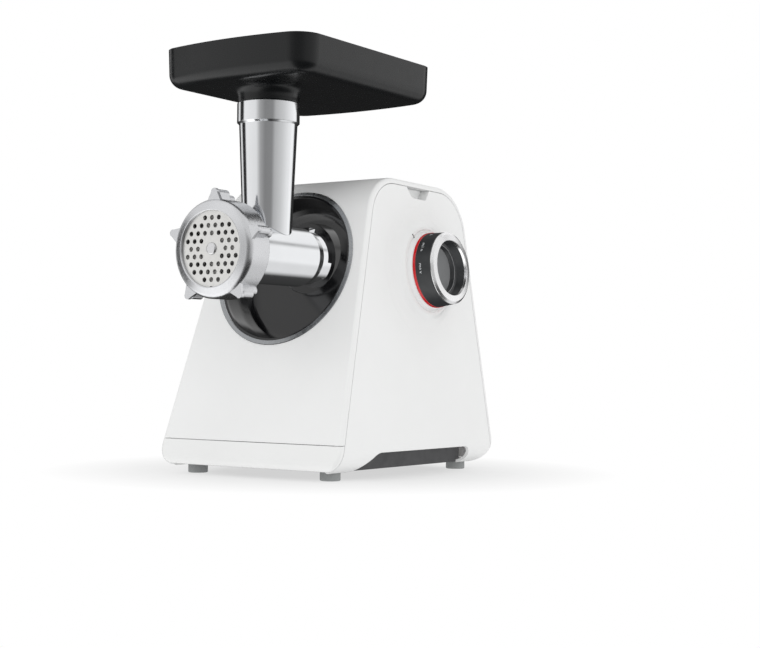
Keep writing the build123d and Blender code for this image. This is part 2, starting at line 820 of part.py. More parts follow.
with BuildPart() as motor_bolts:
    with BuildSketch(across(stack_rear)):
        with Locations(*bolt_spots):
            Circle(bolt_radius)
    extrude(amount=stack_rear - bracket_front)
    with BuildSketch(across(stack_rear + 3)):
        with Locations(*bolt_spots):
            RegularPolygon(3.6, 6)
    extrude(amount=3)
save(motor_bolts, "motor_bolts")

with BuildPart() as rotor_shaft:
    with BuildSketch(motor_section(bracket_rear + bracket_thickness)):
        Circle(motor_shaft_radius)
    extrude(amount=bracket_rear + bracket_thickness - gearbox_split)
    with BuildSketch(motor_section(gearbox_split)):
        Circle(motor_shaft_radius - 1)
    extrude(amount=gearbox_split - pinion_front)
save(rotor_shaft, "rotor_shaft")

rotor_slots = 12

with BuildPart() as rotor_core:
    with BuildSketch(motor_section(stack_rear)):
        Circle(rotor_radius)
        Circle(motor_shaft_radius, mode=Mode.SUBTRACT)
        with PolarLocations(rotor_radius - 3.5, rotor_slots):
            SlotOverall(5.4, 2.2, mode=Mode.SUBTRACT)
        with PolarLocations(rotor_radius, rotor_slots):
            Rectangle(3.0, 1.2, mode=Mode.SUBTRACT)
    extrude(amount=stack_rear - stack_front)
save(rotor_core, "rotor_core")

with BuildPart() as rotor_windings:
    for rear in (stack_front, stack_rear + winding_overhang):
        with BuildSketch(motor_section(rear)):
            Circle(rotor_radius - 1.6)
            Circle(motor_shaft_radius, mode=Mode.SUBTRACT)
        extrude(amount=winding_overhang)
save(rotor_windings, "rotor_windings")

with BuildPart() as commutator:
    with BuildSketch(motor_section(commutator_rear)):
        Circle(commutator_radius)
        Circle(motor_shaft_radius, mode=Mode.SUBTRACT)
    extrude(amount=commutator_rear - commutator_front)
save(commutator, "commutator")

fan_blades, fan_radius = 11, 24.0

with BuildPart() as cooling_fan:
    with BuildSketch(motor_section(fan_front + 1.5)):
        Circle(fan_radius)
        Circle(motor_shaft_radius, mode=Mode.SUBTRACT)
    extrude(amount=1.5)
    with BuildSketch(motor_section(fan_rear)):
        Circle(7)
        Circle(motor_shaft_radius, mode=Mode.SUBTRACT)
        with PolarLocations((fan_radius + 7) / 2, fan_blades):
            Rectangle(fan_radius - 6, 1.6)
    extrude(amount=fan_rear - fan_front - 1.5)
save(cooling_fan, "cooling_fan")

brush_width, brush_depth, brush_reach = 6.0, 7.0, 13.0
brush_gap = 0.1
brush_middle = (commutator_front + commutator_rear) / 2
brush_start = commutator_radius + brush_gap

with BuildPart() as carbon_brushes:
    with BuildSketch(motor_section(brush_middle + brush_depth / 2)):
        for way in (-1, 1):
            with Locations((way * (brush_start + brush_reach / 2), 0)):
                Rectangle(brush_reach, brush_width)
    extrude(amount=brush_depth)
save(carbon_brushes, "carbon_brushes")

with BuildPart() as brush_holders:
    for way in (-1, 1):
        with BuildSketch(motor_section(brush_middle + brush_depth / 2 + 1)):
            with Locations((way * (brush_start + 2.4 + brush_reach / 2), 0)):
                Rectangle(brush_reach - 1.2, brush_width + 2)
                Rectangle(brush_reach + 2, brush_width, mode=Mode.SUBTRACT)
        extrude(amount=brush_depth + 2)
save(brush_holders, "brush_holders")

rubber_low, rubber_high = saddle_top, motor_z - stator_height / 2

with BuildPart() as motor_cushions:
    with BuildSketch(Plane.XY.offset(rubber_low)):
        with Locations((0, 56), (0, 72)):
            Rectangle(40, 7)
    extrude(amount=rubber_high - rubber_low)
save(motor_cushions, "motor_cushions")

# ---------------------------------------------------------------- speed knob
bezel_base, bezel_bore = knob_face - 1.9, 22.7
groove_depth = 0.7
ring_height = 2.2
lip_level, cap_level = knob_face - 10.0, knob_face - 14.0

knob_profile = [
    (knob_base + ring_height, 4.0), (knob_base + ring_height, knob_foot_radius - 0.4),
    (bezel_base - groove_depth, knob_radius), (bezel_base - groove_depth, knob_radius - groove_depth),
    (bezel_base, knob_radius - groove_depth), (bezel_base, bezel_bore + 0.6),
    (lip_level + 0.6, bezel_bore - 0.2), (lip_level, bezel_bore - 2.4),
    (cap_level + 1.6, bezel_bore - 2.8), (cap_level - 1.4, bezel_bore - 2.8), (cap_level - 1.4, 4.0),
]

with BuildPart() as knob_body:
    revolve(outline(knob_plane, knob_profile), axis=knob_axis)
save(knob_body, "knob_body")

with BuildPart() as knob_red_ring:
    with BuildSketch(knob_disc(knob_base)):
        Circle(knob_foot_radius)
        Circle(14, mode=Mode.SUBTRACT)
    extrude(amount=ring_height)
save(knob_red_ring, "knob_red_ring")

bezel_profile = [
    (bezel_base, bezel_bore), (bezel_base, knob_radius), (bezel_base + 0.5, knob_radius),
    (knob_face, knob_radius - 2.0), (knob_face + 0.8, bezel_bore + 0.5), (knob_face + 0.5, bezel_bore),
]

with BuildPart() as knob_bezel:
    revolve(outline(knob_plane, bezel_profile), axis=knob_axis)
save(knob_bezel, "knob_bezel")

with BuildPart() as knob_cap:
    with BuildSketch(knob_disc(cap_level - 1.4)):
        Circle(bezel_bore - 2.9)
    extrude(amount=1.4)
save(knob_cap, "knob_cap")

switch_shaft_radius = 3.0
switch_near, switch_far = -6.0, -22.0

with BuildPart() as switch_shaft:
    with BuildSketch(knob_disc(switch_far + 4)):
        Circle(switch_shaft_radius)
    extrude(amount=cap_level - 1.4 - switch_far - 4)
    with BuildSketch(knob_disc(knob_base + ring_height)):
        Circle(4.0)
        Circle(switch_shaft_radius, mode=Mode.SUBTRACT)
    extrude(amount=cap_level - 1.4 - knob_base - ring_height)
save(switch_shaft, "switch_shaft")

with BuildPart() as speed_switch:
    with BuildSketch(knob_disc(switch_far)):
        RectangleRounded(30, 30, 3)
    extrude(amount=switch_near - switch_far)
    with BuildSketch(knob_disc(switch_far + 3.5)):
        Circle(switch_shaft_radius + running_gap)
    extrude(amount=40, mode=Mode.SUBTRACT)
save(speed_switch, "speed_switch")

board_thickness = 1.6

with BuildPart() as control_board:
    with BuildSketch(knob_disc(switch_far - board_thickness)):
        with Locations((0, -14)):
            Rectangle(56, 70)
    extrude(amount=board_thickness)
save(control_board, "control_board")

with BuildPart() as board_components:
    with BuildSketch(knob_disc(switch_far)):
        with Locations((-18, -34), (14, -38)):
            Circle(5)
    extrude(amount=12)
    with BuildSketch(knob_disc(switch_far)):
        with Locations((-2, -36)):
            Rectangle(12, 14)
        with Locations((20, -24)):
            Rectangle(8, 6)
    extrude(amount=9)
save(board_components, "board_components")

# ---------------------------------------------------------------- grinding head
bell_depth = 10.2
bell_radius = disc_radius + 0.2
bell_front, bell_shoulder = -153.2, -137.0
chamber_front, chamber_rear = -138.4, -56.0
worm_rear_wall = -50.0
journal_radius = 8.0
bush_outer = 10.5
knife_gap = 0.2
knife_thickness = 6.8
knife_front = disc_front + disc_thickness + knife_gap
knife_rear = knife_front + knife_thickness
spigot_hollow = 17.6
neck_wall = 2.6
neck_foot, neck_head = worm_z + 10, collar_bottom - 1.6

body_points = [
    (bell_front, 0), (bell_front, flange_radius), (bell_shoulder, flange_radius),
    (bell_shoulder + 3.2, barrel_radius + 0.3), (bell_shoulder + 4.2, barrel_radius),
    (barrel_rear - 1.0, barrel_radius), (barrel_rear, barrel_radius - 0.9),
    (barrel_rear + 8.0, spigot_radius), (spigot_rear, spigot_radius), (spigot_rear, 0),
]
neck_points = [
    (0, neck_foot), (neck_bottom_radius, neck_foot), (neck_top_radius, neck_head),
    (collar_radius, collar_bottom), (collar_radius, collar_top - 0.6),
    (collar_radius - 0.6, collar_top), (0, collar_top),
]
throat_points = [
    (0, worm_z), (neck_bottom_radius - neck_wall, worm_z),
    (neck_top_radius - neck_wall, neck_head - 2), (neck_top_radius - neck_wall, collar_top + 1),
    (0, collar_top + 1),
]
hollow_head = [
    (bell_front - 1, 0), (bell_front - 1, bell_radius), (knife_rear + 1.0, bell_radius),
    (chamber_front, chamber_radius), (chamber_rear, chamber_radius), (chamber_rear, bush_outer),
    (worm_rear_wall, bush_outer), (worm_rear_wall, spigot_hollow), (spigot_rear + 1, spigot_hollow),
    (spigot_rear + 1, 0),
]
neck_plane = upright(0, neck_y)
key_radius, key_reach = 1.6, 29.8

with BuildPart() as grinder_housing:
    revolve(outline(worm_plane, body_points), axis=worm_axis)
    revolve(outline(neck_plane, throat_points), axis=neck_axis, mode=Mode.SUBTRACT)
    revolve(outline(worm_plane, hollow_head), axis=worm_axis, mode=Mode.SUBTRACT)
    with BuildSketch(across(bell_front + 3, 0, worm_z)):
        with Locations((0, -bell_radius - 0.2)):
            Circle(key_radius)
    extrude(amount=3.0)
    for angle in lug_angles:
        lug = sector(across(lug_rear, 0, worm_z), spigot_radius - 1, lug_radius, angle, lug_angle)
        extrude(lug, amount=lug_rear - lug_front)
save(grinder_housing, "grinder_housing")

# The neck stands on the barrel and ends in the collar.
with BuildPart() as feed_neck:
    revolve(outline(neck_plane, neck_points), axis=neck_axis)
    revolve(outline(neck_plane, throat_points), axis=neck_axis, mode=Mode.SUBTRACT)
    revolve(outline(worm_plane, body_points), axis=worm_axis, mode=Mode.SUBTRACT)
save(feed_neck, "feed_neck")

with BuildPart() as worm_bush:
    with BuildSketch(across(worm_rear_wall, 0, worm_z)):
        Circle(bush_outer)
        Circle(journal_radius + running_gap, mode=Mode.SUBTRACT)
    extrude(amount=worm_rear_wall - chamber_rear)
save(worm_bush, "worm_bush")

# Worm: a core with a helical flight that pushes towards the disc.
flight_front, flight_rear = -140.4, -61.0
thrust_gap = 0.3
stud_depth, stud_radius, pin_radius = 20.0, 5.0, 4.7
square_flats = 9.2
flight_root, flight_tip = 7.0, 3.4

with BuildLine() as flight_path:
    Helix(
        pitch=worm_pitch,
        height=flight_rear - flight_front,
        radius=worm_core,
        center=(0, flight_rear, worm_z),
        direction=(0, -1, 0),
    )

path_edge = flight_path.edges()[0]
path_start = path_edge @ 0
outward = (path_start - Vector(0, flight_rear, worm_z)).normalized()
flight_plane = Plane(origin=path_start, x_dir=outward, z_dir=Vector(0, -1, 0).cross(outward))

with BuildPart() as worm_flight:
    with BuildSketch(flight_plane):
        with BuildLine():
            Polyline(
                (-2.0, -flight_root / 2), (worm_radius - worm_core, -flight_tip / 2),
                (worm_radius - worm_core, flight_tip / 2), (-2.0, flight_root / 2), close=True,
            )
        make_face()
    sweep(path=flight_path.wires()[0], is_frenet=True)

with BuildPart() as worm:
    with BuildSketch(across(chamber_rear - thrust_gap, 0, worm_z)):
        Circle(worm_core)
    extrude(amount=chamber_rear - thrust_gap - knife_rear)
    add(worm_flight.part)
    with BuildSketch(across(chamber_rear - thrust_gap - 3, 0, worm_z)):
        Circle(chamber_radius - 1.5)
        Circle(worm_core - 1, mode=Mode.SUBTRACT)
    extrude(amount=-3)
    with BuildSketch(across(worm_rear_wall + 6, 0, worm_z)):
        Circle(journal_radius)
    extrude(amount=worm_rear_wall + 6 - chamber_rear + thrust_gap)
    with BuildSketch(across(knife_rear + stud_depth, 0, worm_z)):
        Circle(stud_radius)
    extrude(amount=stud_depth + 10, mode=Mode.SUBTRACT)
save(worm, "worm")

with BuildPart() as worm_stud:
    with BuildSketch(across(knife_rear + stud_depth, 0, worm_z)):
        Circle(stud_radius)
    extrude(amount=stud_depth)
    with BuildSketch(across(knife_rear, 0, worm_z)):
        Rectangle(square_flats, square_flats)
    extrude(amount=knife_thickness)
    with BuildSketch(across(knife_front, 0, worm_z)):
        Circle(pin_radius)
    extrude(amount=knife_front - disc_front + 1.4)
    fillet(worm_stud.faces().sort_by(Axis.Y)[0].edges(), 1.2)
save(worm_stud, "worm_stud")

coupling_front, coupling_collar, coupling_rear = worm_rear_wall + 6, -37.0, -19.0
coupling_radius = 12.5

with BuildPart() as worm_coupling:
    with BuildSketch(across(coupling_collar, 0, worm_z)):
        Circle(coupling_radius)
    extrude(amount=coupling_collar - coupling_front)
    with BuildSketch(across(coupling_rear, 0, worm_z)):
        RegularPolygon(hex_flats / 2, 6, major_radius=False)
    extrude(amount=coupling_rear - coupling_collar)
save(worm_coupling, "worm_coupling")

# Knife: a square-holed hub with four straight arms, flat towards the disc.
knife_arms, arm_reach, arm_width = 4, 28.6, 10.0

with BuildPart() as knife:
    with BuildSketch(across(knife_rear, 0, worm_z)):
        Circle(10.0)
        with PolarLocations(0, knife_arms):
            with Locations((arm_reach / 2, 1.5)):
                Rectangle(arm_reach, arm_width)
        Rectangle(square_flats + 0.4, square_flats + 0.4, mode=Mode.SUBTRACT)
    extrude(amount=knife_thickness)
    with BuildSketch(across(knife_rear + 1, 0, worm_z)):
        Circle(arm_reach + 6)
        Circle(14.0, mode=Mode.SUBTRACT)
    extrude(amount=3.0, mode=Mode.SUBTRACT)
save(knife, "knife")

# Perforated disc: a hexagonal field of holes round the stud.
nearest_hole, farthest_hole = 1.7, 3.7
hole_rows = 4
row_rise = math.sqrt(3) / 2
hole_spots = []
for row in range(-hole_rows, hole_rows + 1):
    for step in range(-hole_rows, hole_rows + 1):
        spot = (step + 0.5 * (row % 2), row * row_rise)
        if nearest_hole < math.hypot(*spot) < farthest_hole:
            hole_spots.append((spot[0] * disc_pitch, spot[1] * disc_pitch))

with BuildPart() as perforated_disc:
    with BuildSketch(across(disc_front + disc_thickness, 0, worm_z)):
        Circle(disc_radius)
        Circle(pin_radius + 0.1, mode=Mode.SUBTRACT)
        with Locations(*hole_spots):
            Circle(disc_hole / 2, mode=Mode.SUBTRACT)
        with Locations((0, -disc_radius)):
            Circle(key_radius + 0.7, mode=Mode.SUBTRACT)
    extrude(amount=disc_thickness)
save(perforated_disc, "perforated_disc")

# Screw ring: a rounded face, a skirt over the flange and five stepped lugs.
lip_gap = 0.15
ring_points = [
    (ring_rear, ring_bore), (disc_front - lip_gap, ring_bore), (disc_front - lip_gap, ring_mouth),
    (ring_front, ring_mouth), (ring_front + 3.0, ring_radius), (ring_rear, ring_radius),
]
ring_radii = [0.5, 0, 0, 0.8, 5.0, 0.8]
ring_lugs, first_lug = 5, 90.0
ear_front, ear_rear, ridge_rear = ring_front + 4.4, ring_front + 7.6, -140.0
# Each lug in three steps from front to back: where it starts and ends, its reach, tip radius and half width.
lug_steps = [
    (ear_front, ear_rear, 46.6, 2.8, 6.6),
    (ear_rear, ridge_rear, 46.0, 3.6, 4.6),
    (ridge_rear, ring_rear, 42.4, 3.2, 4.2),
]


def lug_shape(plane, reach, tip, half_foot):
    """A lug's outline: a round tip on a foot that starts inside the ring."""
    with BuildSketch(plane) as shape:
        with BuildLine():
            Polyline(
                (ring_radius - 2, -half_foot), (reach - tip, -tip), (reach - tip, tip),
                (ring_radius - 2, half_foot), close=True,
            )
        make_face()
        with Locations((reach - tip, 0)):
            Circle(tip)
    return shape.sketch


with BuildPart() as screw_ring:
    revolve(outline(worm_plane, ring_points, ring_radii), axis=worm_axis)
    for i in range(ring_lugs):
        angle = first_lug + 360 / ring_lugs * i
        lug_x = Vector(math.cos(math.radians(angle)), 0, math.sin(math.radians(angle)))
        for start, end, reach, tip, half_foot in lug_steps:
            lug_plane = Plane(origin=(0, end, worm_z), x_dir=lug_x, z_dir=(0, -1, 0))
            extrude(lug_shape(lug_plane, reach, tip, half_foot), amount=end - start)
save(screw_ring, "screw_ring")

# Feed tray: a deep dish with bowed ends and a rounded floor edge. Its boss flares out of the
# underside above the collar, and its spout drops into the neck.
tray_half_x, tray_front, tray_rear = 73.0, -143.9, 50.7
tray_bow, tray_corner = 8.0, 20.0
tray_top, tray_bottom = 339.5, 309.1
tray_wall, tray_floor, tray_draft = 2.2, 2.6, 2.0
tray_edge_radius = 11.0
boss_radius, boss_flare = 24.7, 9.0
spout_radius, spout_bore, spout_low = 20.4, 18.2, 283.0


def tray_outline(inset):
    """The tray's rim: straight sides, ends bowed outwards, rounded corners, moved in by inset."""
    half = tray_half_x - inset
    front, rear = tray_front + inset, tray_rear - inset
    with BuildSketch(Plane.XY.offset(tray_top)) as rim:
        with BuildLine():
            ThreePointArc((-half, front + tray_bow), (0, front), (half, front + tray_bow))
            Line((half, front + tray_bow), (half, rear - tray_bow))
            ThreePointArc((half, rear - tray_bow), (0, rear), (-half, rear - tray_bow))
            Line((-half, rear - tray_bow), (-half, front + tray_bow))
        make_face()
        fillet(rim.vertices(), tray_corner - inset)
    return rim.sketch


def tray_form(inset, floor_z):
    """A dish-shaped solid down to floor_z, with a rounded lower edge."""
    with BuildPart() as form:
        extrude(tray_outline(inset), amount=-(tray_top - floor_z), taper=tray_draft)
        fillet(form.faces().sort_by(Axis.Z)[0].edges(), tray_edge_radius - inset)
    return form.part


boss_points = [
    (spout_bore, collar_top), (boss_radius, collar_top), (boss_radius, tray_bottom),
    (boss_radius + 2 * boss_flare, tray_bottom), (boss_radius + 2 * boss_flare, tray_bottom + 1),
    (spout_bore, tray_bottom + 1),
]

with BuildPart() as hopper_tray:
    add(tray_form(0, tray_bottom))
    add(tray_form(tray_wall, tray_bottom + tray_floor), mode=Mode.SUBTRACT)
    revolve(outline(neck_plane, boss_points, [0, 0.8, boss_flare, 0, 0, 0]), axis=neck_axis)
    with BuildSketch(Plane.XY.offset(spout_low)):
        with Locations((0, neck_y)):
            Circle(spout_radius)
    extrude(amount=tray_bottom + 1 - spout_low)
    with BuildSketch(Plane.XY.offset(spout_low)):
        with Locations((0, neck_y)):
            Circle(spout_bore)
    extrude(amount=60, mode=Mode.SUBTRACT)
save(hopper_tray, "hopper_tray")
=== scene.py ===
import bpy
import json
import math
from mathutils import Matrix, Vector


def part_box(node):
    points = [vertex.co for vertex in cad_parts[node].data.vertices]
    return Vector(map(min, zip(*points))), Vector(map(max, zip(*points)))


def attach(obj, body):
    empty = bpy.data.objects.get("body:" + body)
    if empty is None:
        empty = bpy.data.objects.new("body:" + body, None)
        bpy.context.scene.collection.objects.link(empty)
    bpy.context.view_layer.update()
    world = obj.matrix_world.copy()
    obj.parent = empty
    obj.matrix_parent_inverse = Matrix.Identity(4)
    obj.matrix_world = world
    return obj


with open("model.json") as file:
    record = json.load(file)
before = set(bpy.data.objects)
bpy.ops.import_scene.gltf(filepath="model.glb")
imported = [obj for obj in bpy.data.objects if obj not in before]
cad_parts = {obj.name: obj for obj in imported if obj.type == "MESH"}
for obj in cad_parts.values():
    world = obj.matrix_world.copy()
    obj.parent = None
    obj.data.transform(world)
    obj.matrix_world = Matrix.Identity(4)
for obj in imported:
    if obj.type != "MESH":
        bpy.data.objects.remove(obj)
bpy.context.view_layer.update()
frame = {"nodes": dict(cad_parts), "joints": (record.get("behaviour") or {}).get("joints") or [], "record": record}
nodes = frame["nodes"]
joints = {joint["name"]: joint for joint in frame["joints"]}

MM = 0.001

# ---------------------------------------------------------------- camera
camera_place = Vector((0.760, -1.0375, 0.0917))
camera_yaw = math.radians(34.68)
camera_pitch = math.radians(1.42)
camera_roll = math.radians(0.55)
camera_lens, camera_sensor = 72.1, 36
camera_shift = 0.009
camera_near = 0.01


def make_camera():
    """The scene's only camera, low in front of the machine and to its right."""
    look = Vector((-math.sin(camera_yaw) * math.cos(camera_pitch),
                   math.cos(camera_yaw) * math.cos(camera_pitch),
                   math.sin(camera_pitch)))
    level = Vector((math.cos(camera_yaw), math.sin(camera_yaw), 0))
    upward = level.cross(look)
    right = level * math.cos(camera_roll) + upward * math.sin(camera_roll)
    up = upward * math.cos(camera_roll) - level * math.sin(camera_roll)
    data = bpy.data.cameras.new("camera")
    data.lens = camera_lens
    data.sensor_width = camera_sensor
    data.shift_x = camera_shift
    data.clip_start = camera_near
    camera = bpy.data.objects.new("camera", data)
    turn = Matrix((right, up, -look)).transposed().to_4x4()
    camera.matrix_world = Matrix.Translation(camera_place) @ turn
    bpy.context.scene.collection.objects.link(camera)
    bpy.context.scene.camera = camera


make_camera()


# ---------------------------------------------------------------- material helpers
# Which of a Mix node's sockets hold its two colours, and which its blended colour.
mix_dark, mix_light, mix_out = 6, 7, 2


class Surface:
    """A Principled material with procedural colour, roughness and relief, in object coordinates."""

    def __init__(self, name, color, roughness, metallic=0.0, **sockets):
        self.material = bpy.data.materials.new(name)
        self.material.use_nodes = True
        self.tree = self.material.node_tree
        self.shader = self.tree.nodes["Principled BSDF"]
        self.color = color
        self.roughness = roughness
        self.shader.inputs["Base Color"].default_value = (*color, 1)
        self.shader.inputs["Roughness"].default_value = roughness
        self.shader.inputs["Metallic"].default_value = metallic
        for socket, value in sockets.items():
            self.shader.inputs[socket.replace("_", " ")].default_value = value
        self.normal = None

    def node(self, kind, **settings):
        made = self.tree.nodes.new(kind)
        for key, value in settings.items():
            setattr(made, key, value)
        return made

    def link(self, out, into):
        self.tree.links.new(out, into)

    def place(self, stretch=(1, 1, 1), centre=(0, 0, 0)):
        """Object coordinates about a centre, stretched along the axes."""
        coords = self.node("ShaderNodeTexCoord")
        mapping = self.node("ShaderNodeMapping")
        mapping.inputs["Scale"].default_value = stretch
        mapping.inputs["Location"].default_value = [-c * s for c, s in zip(centre, stretch)]
        self.link(coords.outputs["Object"], mapping.inputs["Vector"])
        return mapping.outputs["Vector"]

    def round_about(self, axis, centre, around):
        """Radius, angle times around, and height about an axis through a centre, for turned metal."""
        spot = self.place(centre=centre)
        parts = self.node("ShaderNodeSeparateXYZ")
        self.link(spot, parts.inputs[0])
        first, second = [name for name in "XYZ" if name != axis]
        squares = [self.maths("POWER", parts.outputs[side], 2.0) for side in (first, second)]
        radius = self.maths("SQRT", self.maths("ADD", *squares))
        angle = self.maths("ARCTAN2", parts.outputs[first], parts.outputs[second])
        joined = self.node("ShaderNodeCombineXYZ")
        self.link(radius, joined.inputs["X"])
        self.link(self.maths("MULTIPLY", angle, around), joined.inputs["Y"])
        self.link(parts.outputs[axis], joined.inputs["Z"])
        return joined.outputs[0]

    def maths(self, operation, a, b=None):
        step = self.node("ShaderNodeMath", operation=operation)
        for socket, value in zip(step.inputs, (a, b)):
            if value is None:
                continue
            if isinstance(value, (int, float)):
                socket.default_value = value
            else:
                self.link(value, socket)
        return step.outputs[0]

    def noise(self, where, size_mm, detail):
        """Noise whose features are about size_mm across."""
        texture = self.node("ShaderNodeTexNoise")
        texture.inputs["Scale"].default_value = 1000.0 / size_mm
        texture.inputs["Detail"].default_value = detail
        texture.inputs["Roughness"].default_value = 0.5
        self.link(where, texture.inputs["Vector"])
        return texture.outputs["Fac"]

    def spread(self, value, low, high, start=0.3, end=0.7):
        """Map a 0 to 1 value between start and end to low and high."""
        mapped = self.node("ShaderNodeMapRange")
        limits = {"From Min": start, "From Max": end, "To Min": low, "To Max": high}
        for name, number in limits.items():
            mapped.inputs[name].default_value = number
        self.link(value, mapped.inputs["Value"])
        return mapped.outputs["Result"]

    def mix(self, factor, dark, light):
        """A colour between dark and light."""
        blend = self.node("ShaderNodeMix", data_type="RGBA")
        for socket, value in ((blend.inputs[mix_dark], dark), (blend.inputs[mix_light], light)):
            if isinstance(value, tuple):
                socket.default_value = (*value, 1)
            else:
                self.link(value, socket)
        self.link(factor, blend.inputs[0])
        return blend.outputs[mix_out]

    def vary_color(self, factor, amount):
        """Shift the base colour by a share, up and down."""
        dark = tuple(c * (1 - amount) for c in self.color)
        light = tuple(min(c * (1 + amount), 1.0) for c in self.color)
        self.link(self.mix(factor, dark, light), self.shader.inputs["Base Color"])

    def vary_roughness(self, factor, amount):
        low, high = self.roughness - amount, self.roughness + amount
        self.link(self.spread(factor, low, high), self.shader.inputs["Roughness"])

    def relief(self, height, depth_mm):
        """Bump of a given depth, on top of any earlier relief."""
        bump = self.node("ShaderNodeBump")
        bump.inputs["Strength"].default_value = 1.0
        bump.inputs["Distance"].default_value = depth_mm * MM
        self.link(height, bump.inputs["Height"])
        if self.normal is not None:
            self.link(self.normal, bump.inputs["Normal"])
        self.normal = bump.outputs["Normal"]
        self.link(self.normal, self.shader.inputs["Normal"])

    def soften_edges(self, radius_mm):
        """Rounded shading along sharp edges."""
        bevel = self.node("ShaderNodeBevel", samples=4)
        bevel.inputs["Radius"].default_value = radius_mm * MM
        self.normal = bevel.outputs["Normal"]
        self.link(self.normal, self.shader.inputs["Normal"])


# Size in millimetres and share of the slow changes in colour, and of the finer ones in roughness.
plastic_cloud_mm, plastic_cloud = 60, 0.03
plastic_patch_mm, plastic_patch = 8, 0.12
metal_cloud_mm, metal_cloud = 25, 0.04
metal_smear_mm, metal_smear = 5, 0.15
lathe_cloud_mm, lathe_cloud = 20, 0.04
# Turned metal: the width and depth of its lines, how much they change the roughness, and how
# slowly they change round the axis.
lathe_line_mm, lathe_line_depth, lathe_line_share = 0.25, 0.003, 0.35
lathe_edge_mm = 0.25
lathe_around = 0.004


def moulded(name, color, roughness, grain_mm=0.5, grain_depth=0.01, edge_mm=0.4, **sockets):
    """Moulded plastic: faint clouding, fine spark-eroded grain and softened edges."""
    surface = Surface(name, color, roughness, **sockets)
    surface.soften_edges(edge_mm)
    where = surface.place()
    surface.vary_color(surface.noise(where, plastic_cloud_mm, detail=3), plastic_cloud)
    surface.vary_roughness(surface.noise(where, plastic_patch_mm, detail=4), roughness * plastic_patch)
    if grain_depth:
        surface.relief(surface.noise(where, grain_mm, detail=3), grain_depth)
    return surface


def metal(name, color, roughness, grain_mm=0.4, grain_depth=0.004, edge_mm=0.3):
    """Polished or blasted metal: fine grain and smears of uneven polish."""
    surface = Surface(name, color, roughness, metallic=1.0)
    surface.soften_edges(edge_mm)
    where = surface.place()
    surface.vary_color(surface.noise(where, metal_cloud_mm, detail=3), metal_cloud)
    surface.vary_roughness(surface.noise(where, metal_smear_mm, detail=5), roughness * metal_smear)
    surface.relief(surface.noise(where, grain_mm, detail=2), grain_depth)
    return surface


def turned(name, color, roughness, axis, centre):
    """Metal turned on a lathe: fine lines round an axis through a centre."""
    surface = Surface(name, color, roughness, metallic=1.0)
    surface.soften_edges(lathe_edge_mm)
    where = surface.round_about(axis, centre, lathe_around)
    lines = surface.noise(where, lathe_line_mm, detail=2)
    surface.vary_color(surface.noise(surface.place(), lathe_cloud_mm, detail=3), lathe_cloud)
    surface.vary_roughness(lines, roughness * lathe_line_share)
    surface.relief(lines, lathe_line_depth)
    return surface


# ---------------------------------------------------------------- places read from the frame
def middle(node):
    low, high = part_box(node)
    return (low + high) / 2


worm_centre = Vector(joints["worm_spin"]["pos_m"])
knob_centre = Vector(joints["knob_turn"]["pos_m"])
knob_out = -Vector(joints["knob_turn"]["axis"])

# ---------------------------------------------------------------- materials
white = moulded("white_satin", (0.87, 0.875, 0.872), 0.36, grain_mm=0.7, grain_depth=0.006,
                edge_mm=0.6)
white_gloss = moulded("white_gloss", (0.86, 0.865, 0.86), 0.14, grain_depth=0, edge_mm=0.6)
black_gloss = moulded("black_gloss", (0.006, 0.006, 0.007), 0.16, grain_depth=0, edge_mm=0.6)
tray_black = moulded("tray_black", (0.004, 0.0045, 0.005), 0.27, grain_mm=0.6, grain_depth=0.004,
                     edge_mm=0.8, Specular_IOR_Level=0.35)
knob_black = moulded("knob_black", (0.022, 0.024, 0.026), 0.45, grain_mm=0.4, edge_mm=0.3)
knob_grey = moulded("knob_grey", (0.19, 0.195, 0.20), 0.5, grain_mm=0.4, edge_mm=0.3)
red = moulded("signal_red", (0.62, 0.012, 0.016), 0.25, grain_depth=0, edge_mm=0.2)
dark_grey = moulded("dark_grey", (0.045, 0.045, 0.048), 0.5)
mark_white = moulded("mark_white", (0.72, 0.74, 0.75), 0.5, grain_depth=0, edge_mm=0.05)
mark_dark = moulded("mark_dark", (0.04, 0.04, 0.042), 0.5, grain_depth=0, edge_mm=0.05)
# Light grey for the ring in the knob's cavity: a painted highlight along the cavity's edge.
lip_highlight_grey = moulded("lip_highlight_grey", (0.30, 0.30, 0.31), 0.35, grain_depth=0, edge_mm=0.05)
rubber = moulded("foot_rubber", (0.30, 0.31, 0.31), 0.7, grain_mm=0.3, grain_depth=0.02)
nylon = moulded("gear_nylon", (0.70, 0.66, 0.55), 0.4)
coupling = moulded("coupling_nylon", (0.03, 0.03, 0.03), 0.45)
gearbox_grey = moulded("gearbox_grey", (0.07, 0.07, 0.075), 0.5)
board = moulded("board_green", (0.02, 0.12, 0.05), 0.35)
carbon = moulded("brush_carbon", (0.02, 0.02, 0.022), 0.6, grain_mm=0.3, grain_depth=0.03)
rim = metal("rim_grey", (0.30, 0.31, 0.32), 0.28, edge_mm=0.4)
casting = metal("cast_head", (0.74, 0.75, 0.765), 0.11, grain_mm=0.5, grain_depth=0.003,
                edge_mm=0.5)
blasted = metal("blasted_disc", (0.74, 0.735, 0.72), 0.42, grain_mm=0.35, grain_depth=0.02,
                edge_mm=0.15)
ring_face = turned("ring_face", (0.62, 0.625, 0.64), 0.27, "Y", worm_centre)
bezel = turned("knob_bezel", (0.78, 0.78, 0.785), 0.22, "X", knob_centre)
blade = metal("blade_steel", (0.66, 0.66, 0.67), 0.25)
shaft = metal("shaft_steel", (0.55, 0.55, 0.56), 0.25)
chrome = metal("bearing_steel", (0.7, 0.7, 0.72), 0.12)
bronze = metal("bush_bronze", (0.52, 0.34, 0.15), 0.35)
laminated = metal("laminated_steel", (0.34, 0.35, 0.37), 0.4)
copper = metal("copper_winding", (0.62, 0.25, 0.11), 0.35)
alloy = metal("bracket_alloy", (0.55, 0.55, 0.55), 0.4)
